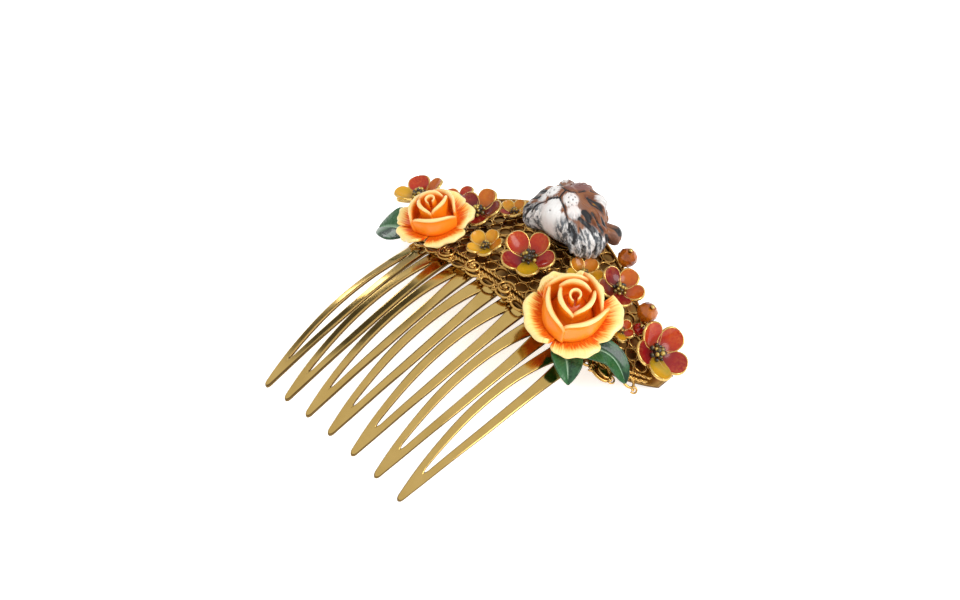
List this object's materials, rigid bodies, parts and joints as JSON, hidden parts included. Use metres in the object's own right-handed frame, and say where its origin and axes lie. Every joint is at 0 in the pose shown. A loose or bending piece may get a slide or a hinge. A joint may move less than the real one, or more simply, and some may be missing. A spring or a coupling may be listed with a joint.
{
  "type": "decorative hair comb",
  "caption": "Arched gold-plated hair comb with slotted teeth, topped by resin roses, a tiger head, leaves, enamelled flowers and spinning beads.",
  "frame": {"origin": "middle of the backing plate's inner face, where the comb bears on the head", "axes": "+X across the comb, +Y from the tooth tips towards the ornaments, +Z out from the head"},
  "size_m": [0.0857, 0.0781, 0.0297],
  "materials": {
    "gold": "polished gold plating",
    "dark_gold": "darkened gold plating",
    "orange_resin": "hand-painted resin, satin varnish",
    "fur_resin": "hand-painted resin, satin varnish",
    "green_enamel": "glossy translucent enamel",
    "red_enamel": "glossy translucent enamel",
    "maroon_enamel": "glossy translucent enamel",
    "yellow_enamel": "glossy translucent enamel",
    "stamen_black": "black paint with gold tips",
    "amber_glass": "faceted and polished",
    "red_glass": "faceted and polished"
  },
  "bodies": {
    "comb": {"backing_plate": "dark_gold", "centre_flower_petals": "red_enamel", "centre_flower_post": "gold", "centre_flower_stamens": "stamen_black", "comb_sheet": "gold", "filigree_band": "gold", "left_end_flower_petals": "red_enamel", "left_end_flower_post": "gold", "left_end_flower_stamens": "stamen_black", "left_leaf": "green_enamel", "left_middle_flower_petals": "maroon_enamel", "left_middle_flower_post": "gold", "left_middle_flower_stamens": "stamen_black", "left_rear_flower_petals": "maroon_enamel", "left_rear_flower_post": "gold", "left_rear_flower_stamens": "stamen_black", "left_rose": "orange_resin", "left_rose_post": "gold", "left_rose_seat": "gold", "left_small_flower_petals": "yellow_enamel", "left_small_flower_post": "gold", "left_small_flower_stamens": "stamen_black", "left_upper_flower_petals": "yellow_enamel", "left_upper_flower_post": "gold", "left_upper_flower_stamens": "stamen_black", "lower_amber_pin": "gold", "red_pin": "gold", "right_curled_leaf": "green_enamel", "right_end_flower_petals": "red_enamel", "right_end_flower_post": "gold", "right_end_flower_stamens": "stamen_black", "right_inner_flower_petals": "yellow_enamel", "right_inner_flower_post": "gold", "right_inner_flower_stamens": "stamen_black", "right_lower_leaf": "green_enamel", "right_middle_flower_petals": "maroon_enamel", "right_middle_flower_post": "gold", "right_middle_flower_stamens": "stamen_black", "right_rose": "orange_resin", "right_rose_post": "gold", "right_rose_seat": "gold", "right_small_flower_petals": "yellow_enamel", "right_small_flower_post": "gold", "right_small_flower_stamens": "stamen_black", "right_upper_leaf": "green_enamel", "tiger_head": "fur_resin", "tiger_post": "gold", "tiger_seat": "gold", "upper_amber_pin": "gold"},
    "upper_amber_bead": {"upper_amber_bead": "amber_glass"},
    "lower_amber_bead": {"lower_amber_bead": "amber_glass"},
    "red_bead": {"red_bead": "red_glass"}
  },
  "joints": [
    {"name": "upper_amber_bead_spin", "type": "hinge", "parent": "comb", "child": "upper_amber_bead", "pos_m": [0.01749, 0.016, 0.00275], "axis": [0.2535, 0, 0.9673], "continuous": true},
    {"name": "lower_amber_bead_spin", "type": "hinge", "parent": "comb", "child": "lower_amber_bead", "pos_m": [0.02932, 0.0094, -0.00132], "axis": [0.4237, 0, 0.9058], "continuous": true},
    {"name": "red_bead_spin", "type": "hinge", "parent": "comb", "child": "red_bead", "pos_m": [0.02989, 0.0062, -0.00381], "axis": [0.4448, 0, 0.8956], "continuous": true}
  ]
}
